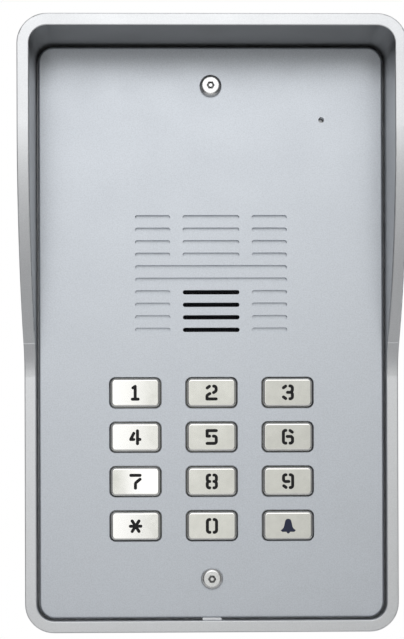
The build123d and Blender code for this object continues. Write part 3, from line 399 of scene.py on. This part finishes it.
def polished_nickel(name):
    """Polished key cap with hair scratches and smudges, its face a little off flat."""
    finish = Finish(name + "_metal", Metallic=1.0)
    low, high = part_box(name)
    lean_x, lean_z, dish = KEY_LEANS[name]
    smudges = finish.noise(KEY_SMUDGE, detail=3.0)
    scratches = finish.noise(KEY_SCRATCH, stretch=(SCRATCH_STRETCH, 1, 1))
    nickel = finish.toned(smudges, KEY_NICKEL, 0.96, 1.02)
    # Painted shade in the gaps and corners
    finish.colour(finish.painted_crevice_shade(nickel, *KEY_CREVICE_SHADE))
    finish.roughness(
        finish.math("ADD", finish.spread(smudges, 0.05, 0.09), finish.spread(scratches, 0.0, 0.02))
    )
    across = finish.math("SUBTRACT", finish.axis("X"), (low.x + high.x) / 2)
    slope_x = finish.math("MULTIPLY", across, -radians(lean_x))
    slope_z = finish.math("MULTIPLY", finish.axis("Z"), -radians(lean_z))
    bowl = finish.math("MULTIPLY", finish.math("MULTIPLY", across, across), dish / 2)
    finish.bump(finish.math("ADD", finish.math("ADD", slope_x, slope_z), bowl), 1.0)
    finish.bump(scratches, SCRATCH_RELIEF)
    return finish.material


def ink(name, colour):
    """Filling paint in a sunk legend: dull, with a fine grain and thin spots."""
    finish = Finish(name, Metallic=0.0, Specular_IOR_Level=0.4)
    grain = finish.noise(INK_GRAIN)
    finish.colour(finish.ramp(grain, ((0.30, shade(colour, 0.7)), (0.75, shade(colour, 1.8)))))
    finish.roughness(finish.spread(grain, 0.38, 0.58))
    finish.bump(grain, INK_RELIEF)
    return finish.material


def turned_steel(name):
    """Bright steel screws: small dents, a fine grain drawn out along them and painted shade in the
    sockets.
    """
    finish = Finish(name, Metallic=1.0)
    dents = finish.noise(SCREW_DENT)
    grain = finish.noise(SCREW_GRAIN, detail=1.0, stretch=(1, SCREW_GRAIN_STRETCH, 1))
    # Painted shade in the sockets and corners
    finish.colour(finish.painted_crevice_shade(finish.ramp(dents, SCREW_STEEL), *SCREW_CREVICE_SHADE))
    rough = finish.spread(dents, 0.16, 0.24)
    finish.roughness(finish.math("ADD", rough, finish.spread(grain, 0, 0.05)))
    finish.bump(grain, SCREW_GRAIN_RELIEF)
    finish.bump(dents, DENT_RELIEF)
    return finish.material


# ---------------------------------------------------------------- finishes behind the plate

# Dark and light tone of each plated metal
PLATED_TONES = {
    "zinc_hardware": ((0.60, 0.60, 0.58), (0.78, 0.77, 0.72)),
    "brass_hardware": ((0.62, 0.43, 0.17), (0.80, 0.60, 0.29)),
    "magnet_steel": ((0.30, 0.30, 0.31), (0.46, 0.46, 0.47)),
    "mic_can": ((0.66, 0.67, 0.68), (0.80, 0.80, 0.80)),
}

# Dark and light tone of each moulded material, and what else differs from the usual
MOULDED_LOOKS = {
    "black_rubber": {"dark": (0.006, 0.006, 0.006), "light": (0.016, 0.016, 0.016)},
    "black_foam": {
        "dark": (0.004, 0.004, 0.004),
        "light": (0.020, 0.020, 0.020),
        "rough": (0.85, 0.95),
        "grain": 0.35 * MM,
        "relief": 0.12 * MM,
    },
    "silicone": {
        "dark": (0.26, 0.27, 0.28),
        "light": (0.36, 0.37, 0.38),
        "rough": (0.42, 0.55),
        "Subsurface_Weight": 0.1,
    },
    "carbon": {
        "dark": (0.010, 0.010, 0.011),
        "light": (0.024, 0.024, 0.025),
        "rough": (0.5, 0.7),
    },
    "black_plastic": {
        "dark": (0.010, 0.010, 0.011),
        "light": (0.022, 0.022, 0.023),
        "rough": (0.35, 0.5),
    },
    "white_plastic": {
        "dark": (0.66, 0.65, 0.61),
        "light": (0.80, 0.79, 0.75),
        "rough": (0.35, 0.48),
    },
    "green_terminal": {
        "dark": (0.020, 0.22, 0.085),
        "light": (0.035, 0.30, 0.12),
        "rough": (0.35, 0.5),
    },
    "relay_case": {
        "dark": (0.010, 0.045, 0.15),
        "light": (0.018, 0.070, 0.21),
        "rough": (0.25, 0.4),
    },
    "capacitor_sleeve": {
        "dark": (0.012, 0.014, 0.030),
        "light": (0.024, 0.028, 0.052),
        "rough": (0.22, 0.35),
    },
    "chip_body": {
        "dark": (0.012, 0.012, 0.013),
        "light": (0.028, 0.028, 0.029),
        "rough": (0.55, 0.7),
    },
    "cone_film": {
        "dark": (0.012, 0.012, 0.013),
        "light": (0.030, 0.030, 0.031),
        "rough": (0.5, 0.65),
    },
    "lead_insulation": {
        "dark": (0.30, 0.016, 0.012),
        "light": (0.42, 0.030, 0.020),
        "rough": (0.35, 0.5),
    },
}
MOULDED_GRAIN = 0.5 * MM
MOULDED_RELIEF = 0.01 * MM
CLOUD_PER_GRAIN = 16
PLATED_GRAIN = 0.3 * MM
PLATED_RELIEF = 0.004 * MM
PLATED_PATCH = 2.5 * MM
ZINC_SPANGLE = 7 * MM
ZINC_FROST = 0.5 * MM
FROST_RELIEF = 0.006 * MM
ZINC_TONES = ((0.2, (0.50, 0.52, 0.54)), (0.8, (0.74, 0.76, 0.78)))
TRACE_PITCH = 4.4 * MM
TRACE_PATCH = 9 * MM
TRACE_RISE = 0.03 * MM
BOARD_GLASS = 0.6 * MM
MASK_TONES = ((0.3, (0.008, 0.075, 0.030)), (0.7, (0.012, 0.11, 0.045)))
COPPER_TONES = ((0.3, (0.022, 0.19, 0.070)), (0.7, (0.030, 0.24, 0.090)))
WIRE_PITCH = 1.9 * MM
WIRE_RELIEF = 0.08 * MM
WIRE_TONES = ((0.05, (0.004, 0.004, 0.005)), (0.45, (0.05, 0.05, 0.055)))


def moulded(
    name, dark, light, rough=(0.45, 0.6), grain=MOULDED_GRAIN, relief=MOULDED_RELIEF, **sockets
):
    """Moulded rubber, foam or plastic: two tones in a grain, with relief to match."""
    finish = Finish(name, **sockets)
    speckle = finish.noise(grain)
    cloud = finish.noise(grain * CLOUD_PER_GRAIN)
    finish.colour(finish.ramp(finish.mixed(speckle, 0.5, cloud), ((0.32, dark), (0.68, light))))
    finish.roughness(finish.spread(cloud, *rough))
    finish.bump(speckle, relief)
    return finish.material


def plated(name, dark, light):
    """Plated metal: cloudy patches of tone and roughness over a fine grain."""
    finish = Finish(name, Metallic=1.0)
    cloud = finish.noise(PLATED_PATCH, detail=3.0)
    finish.colour(finish.ramp(cloud, ((0.3, dark), (0.7, light))))
    finish.roughness(finish.spread(cloud, 0.22, 0.38))
    finish.bump(finish.noise(PLATED_GRAIN, detail=1.0), PLATED_RELIEF)
    return finish.material


def spangled_zinc(name):
    """Galvanised sheet: angular spangles, each with its own tone and gloss."""
    finish = Finish(name, Metallic=1.0)
    frost = finish.noise(ZINC_FROST, detail=3.0)
    mixed = finish.mixed(finish.patches(ZINC_SPANGLE), 0.7, frost)
    finish.colour(finish.ramp(mixed, ZINC_TONES))
    finish.roughness(finish.spread(mixed, 0.30, 0.48, 0.2, 0.8))
    finish.bump(frost, FROST_RELIEF)
    return finish.material


def circuit_board(name):
    """Solder mask over copper: traces run under the green as slightly raised, lighter lines."""
    finish = Finish(name, Coat_Weight=0.5, Coat_Roughness=0.15)
    across = finish.waves(TRACE_PITCH, "X")
    upward = finish.waves(TRACE_PITCH, "Z")
    choose = finish.spread(finish.patches(TRACE_PATCH), 0.0, 1.0, 0.45, 0.46)
    lines = finish.blend(choose, across, upward)
    trace = finish.spread(lines, 0.0, 1.0, 0.80, 0.88)
    glass = finish.noise(BOARD_GLASS)
    mask = finish.ramp(glass, MASK_TONES)
    copper = finish.ramp(glass, COPPER_TONES)
    finish.colour(finish.blend(trace, mask, copper))
    finish.roughness(finish.spread(glass, 0.30, 0.42))
    finish.bump(trace, TRACE_RISE)
    return finish.material


def woven_steel(name):
    """Fine woven wire: two sets of waves crossing, with dark holes between the wires."""
    finish = Finish(name, Metallic=1.0)
    weave = finish.math("MULTIPLY", finish.waves(WIRE_PITCH, "X"), finish.waves(WIRE_PITCH, "Z"))
    finish.colour(finish.ramp(weave, WIRE_TONES))
    finish.roughness(finish.spread(weave, 0.6, 0.35, 0.0, 0.5))
    finish.bump(weave, WIRE_RELIEF)
    return finish.material


def paint_nodes():
    """Give every CAD node the finish of its material slot."""
    finishes = {
        "cast_housing": cast_silver("cast_housing"),
        "face_plate": satin_plate("face_plate"),
        "bright_steel": turned_steel("bright_steel"),
        "zinc_plate": spangled_zinc("zinc_plate"),
        "green_board": circuit_board("green_board"),
        "mesh_steel": woven_steel("mesh_steel"),
    }
    for slot, tones in PLATED_TONES.items():
        finishes[slot] = plated(slot, *tones)
    for slot, look in MOULDED_LOOKS.items():
        finishes[slot] = moulded(slot, **look)
    slots = node_slots()
    for name, node in NODES.items():
        material = polished_nickel(name) if is_key(name) else finishes[slots[name]]
        for slot in node.material_slots:
            slot.material = material


def is_key(name):
    """Whether a node is a key cap: only they move on bodies of their own."""
    return NODES[name]["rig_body"] != "root"


def node_slots():
    """Name of the record's material slot for each node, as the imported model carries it."""
    return {name: node.material_slots[0].material.name for name, node in NODES.items()}


# ---------------------------------------------------------------- added pieces

SAME_POINT = 0.001 * MM
SAME_LEVEL = 0.01 * MM


def mesh_of(node):
    """Copy of a CAD node's mesh, with the points that lie on each other joined."""
    mesh = bmesh.new()
    mesh.from_mesh(node.data)
    bmesh.ops.remove_doubles(mesh, verts=mesh.verts, dist=SAME_POINT)
    return mesh


def add_object(name, mesh, material):
    """Object in the scene made of a finished mesh."""
    data = bpy.data.meshes.new(name)
    mesh.to_mesh(data)
    mesh.free()
    data.materials.append(material)
    thing = bpy.data.objects.new(name, data)
    bpy.context.scene.collection.objects.link(thing)
    return thing


def add_piece(name, mesh, material, body):
    """Piece of the object that rides on a body, with the finish it is given."""
    piece = add_object(name, mesh, material)
    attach(piece, body)
    return piece


# ---------------------------------------------------------------- paint in the key legends

LEGEND_SINK = 0.25 * MM
PAINT_THICK = 0.20 * MM
PAINT_EDGE = 0.06 * MM
PAINT_HOLLOW = 0.03 * MM


def fill_legend(name, material):
    """Paint that fills the sunk legend of one key, a little hollow inside its edge."""
    floor_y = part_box(name)[0].y + LEGEND_SINK
    mesh = mesh_of(NODES[name])
    outside = [
        face
        for face in mesh.faces
        if any(abs(vertex.co.y - floor_y) > SAME_LEVEL for vertex in face.verts)
    ]
    bmesh.ops.delete(mesh, geom=outside, context="FACES")
    raised = bmesh.ops.extrude_face_region(mesh, geom=mesh.faces[:])["geom"]
    top_faces = [item for item in raised if isinstance(item, bmesh.types.BMFace)]
    top_points = [item for item in raised if isinstance(item, bmesh.types.BMVert)]
    bmesh.ops.translate(mesh, verts=top_points, vec=(0, -PAINT_THICK, 0))
    bmesh.ops.recalc_face_normals(mesh, faces=mesh.faces)
    bmesh.ops.inset_region(mesh, faces=top_faces, thickness=PAINT_EDGE, depth=-PAINT_HOLLOW)
    add_piece("legend_" + name, mesh, material, NODES[name]["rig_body"])


def fill_legends():
    black = ink("legend_black", INK_BLACK)
    navy = ink("legend_navy", BELL_NAVY)
    for name in filter(is_key, NODES):
        fill_legend(name, navy if name == "key_bell" else black)


# ---------------------------------------------------------------- rubber domes under the keys

DOME_REACH = 4.25 * MM


def on_dome(points, middle):
    """Whether all the points belong to the dome around the middle of its key."""
    return all(hypot(point.co.x - middle.x, point.co.z - middle.z) < DOME_REACH for point in points)


def dome_at(points, middles):
    """Name of the key whose dome all the points belong to, or None on the flat of the mat."""
    return next((name for name, middle in middles.items() if on_dome(points, middle)), None)


def cut_from_mat(name, middles, key):
    """Closed piece made of the mat's faces that belong to one key's dome, or to no dome."""
    mat = NODES["keypad_mat"]
    mesh = mesh_of(mat)
    others = [face for face in mesh.faces if dome_at(face.verts, middles) != key]
    bmesh.ops.delete(mesh, geom=others, context="FACES")
    for middle in middles.values():
        rims = [edge for edge in mesh.edges if edge.is_boundary and on_dome(edge.verts, middle)]
        if rims:
            bmesh.ops.bridge_loops(mesh, edges=rims)
    bmesh.ops.recalc_face_normals(mesh, faces=mesh.faces)
    piece = add_piece(name, mesh, mat.material_slots[0].material, "root")
    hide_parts("keypad_mat")
    return piece


def fold_domes():
    """The mat in pieces: a flat sheet and one dome under each key, each dome with a mesh of its own.
    """
    middles = {name: sum(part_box(name), Vector()) / 2 for name in filter(is_key, NODES)}
    cut_from_mat("mat_sheet", middles, None)
    for name in middles:
        dome = cut_from_mat("dome_" + name, middles, name)
        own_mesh(dome)


# ---------------------------------------------------------------- light and floor

FLOOR_DROP = 0.10
FLOOR_RADIUS = 0.55
FLOOR_SOLID = 0.30
FLOOR_POINTS = 96
FLOOR_TONE = (0.86, 0.86, 0.86, 1)


def add_floor():
    """Plain pale floor under the panel, which fades into the white around it."""
    lowest = cad_box[0].z - FLOOR_DROP
    mesh = bmesh.new()
    bmesh.ops.create_circle(mesh, cap_ends=True, radius=FLOOR_RADIUS, segments=FLOOR_POINTS)
    finish = Finish("floor", Roughness=0.9, Base_Color=FLOOR_TONE)
    length = finish.add("VectorMath")
    length.operation = "LENGTH"
    finish.link(finish.place, length.inputs[0])
    solid = finish.spread(length.outputs["Value"], 1.0, 0.0, FLOOR_SOLID, FLOOR_RADIUS)
    finish.link(solid, finish.shader.inputs["Alpha"])
    floor = add_object("floor", mesh, finish.material)
    floor.location = (0, 0, lowest)


# Soft glows around the panel: the side and up angle of the middle and the width in degrees, and the
# brightness. Side 0 is ahead of the panel, 90 is to its right as one looks at it.
GLOWS = (
    (0, 21, 14, 1.86),
    (0, -10, 8, 0.45),
    (0, -28, 12, 0.60),
    (-7, -1, 4, 0.50),
    (0, 90, 32, 0.55),
    (100, 2, 22, 0.55),
    (-100, 2, 22, 0.55),
    (180, 4, 28, 0.80),
)
EVEN_LIGHT = 0.02

# Faint board ahead of the panel, off to the right, that the polished keys reflect. It fades in over
# the first pair and out over the second, as slopes to the side, and out over the third, up and down.
BOARD_START = (-0.024, -0.017)
BOARD_END = (0.12, 0.22)
BOARD_HALF_HEIGHT = (0.12, 0.20)
BOARD_TONE = (0.71, 0.715, 0.675)


class Sky(NodeTree):
    """The light that comes from every direction, under construction."""

    def __init__(self):
        world = bpy.data.worlds.new("world")
        bpy.context.scene.world = world
        world.use_nodes = True
        self.tree = world.node_tree
        self.background = self.tree.nodes["Background"]
        self.surface = self.tree.nodes["World Output"].inputs["Surface"]
        self.direction = self.add("TexCoord").outputs["Generated"]

    def fade(self, value, start, end):
        """Number that goes smoothly from 0 at the start to 1 at the end."""
        node = self.add("MapRange")
        node.interpolation_type = "SMOOTHSTEP"
        node.inputs["From Min"].default_value = start
        node.inputs["From Max"].default_value = end
        self.link(value, node.inputs["Value"])
        return node.outputs["Result"]

    def glow(self, side, up, width, brightness):
        """Brightness that falls off softly around one direction."""
        side, up, width = radians(side), radians(up), radians(width)
        near = self.add("VectorMath")
        near.operation = "DOT_PRODUCT"
        near.inputs[1].default_value = (sin(side) * cos(up), -cos(side) * cos(up), sin(up))
        self.link(self.direction, near.inputs[0])
        off = self.math("SUBTRACT", near.outputs["Value"], 1.0)
        bell = self.math("EXPONENT", self.math("DIVIDE", off, width * width))
        return self.math("MULTIPLY", bell, brightness)

    def board(self):
        """How much of the board there is in each direction, from 0 to 1."""
        slope = self.parts(self.direction)
        height = self.math("ABSOLUTE", slope["Z"])
        inside = self.math("LESS_THAN", slope["Y"], 0.0)
        for value, span in (
            (slope["X"], BOARD_START),
            (slope["X"], reversed(BOARD_END)),
            (height, reversed(BOARD_HALF_HEIGHT)),
        ):
            inside = self.math("MULTIPLY", inside, self.fade(value, *span))
        return inside


def light_world():
    """Plain white behind the panel; to the object, soft glows and a faint board ahead."""
    sky = Sky()
    total = EVEN_LIGHT
    for glow in GLOWS:
        total = sky.math("ADD", total, sky.glow(*glow))
    tone = sky.add("Mix")
    tone.data_type = "RGBA"
    in_use(tone.inputs, "A").default_value = WHITE
    in_use(tone.inputs, "B").default_value = (*BOARD_TONE, 1)
    sky.link(sky.board(), in_use(tone.inputs, "Factor"))
    lit = sky.add("Background")
    sky.link(in_use(tone.outputs, "Result"), lit.inputs["Color"])
    sky.link(total, lit.inputs["Strength"])
    sky.background.inputs["Color"].default_value = WHITE
    mix = sky.add("MixShader")
    sky.link(sky.add("LightPath").outputs["Is Camera Ray"], mix.inputs["Fac"])
    sky.link(lit.outputs["Background"], mix.inputs[1])
    sky.link(sky.background.outputs["Background"], mix.inputs[2])
    sky.link(mix.outputs["Shader"], sky.surface)


paint_nodes()
fill_legends()
fold_domes()
add_floor()
light_world()
add_camera()
bpy.context.scene.view_settings.view_transform = "Standard"
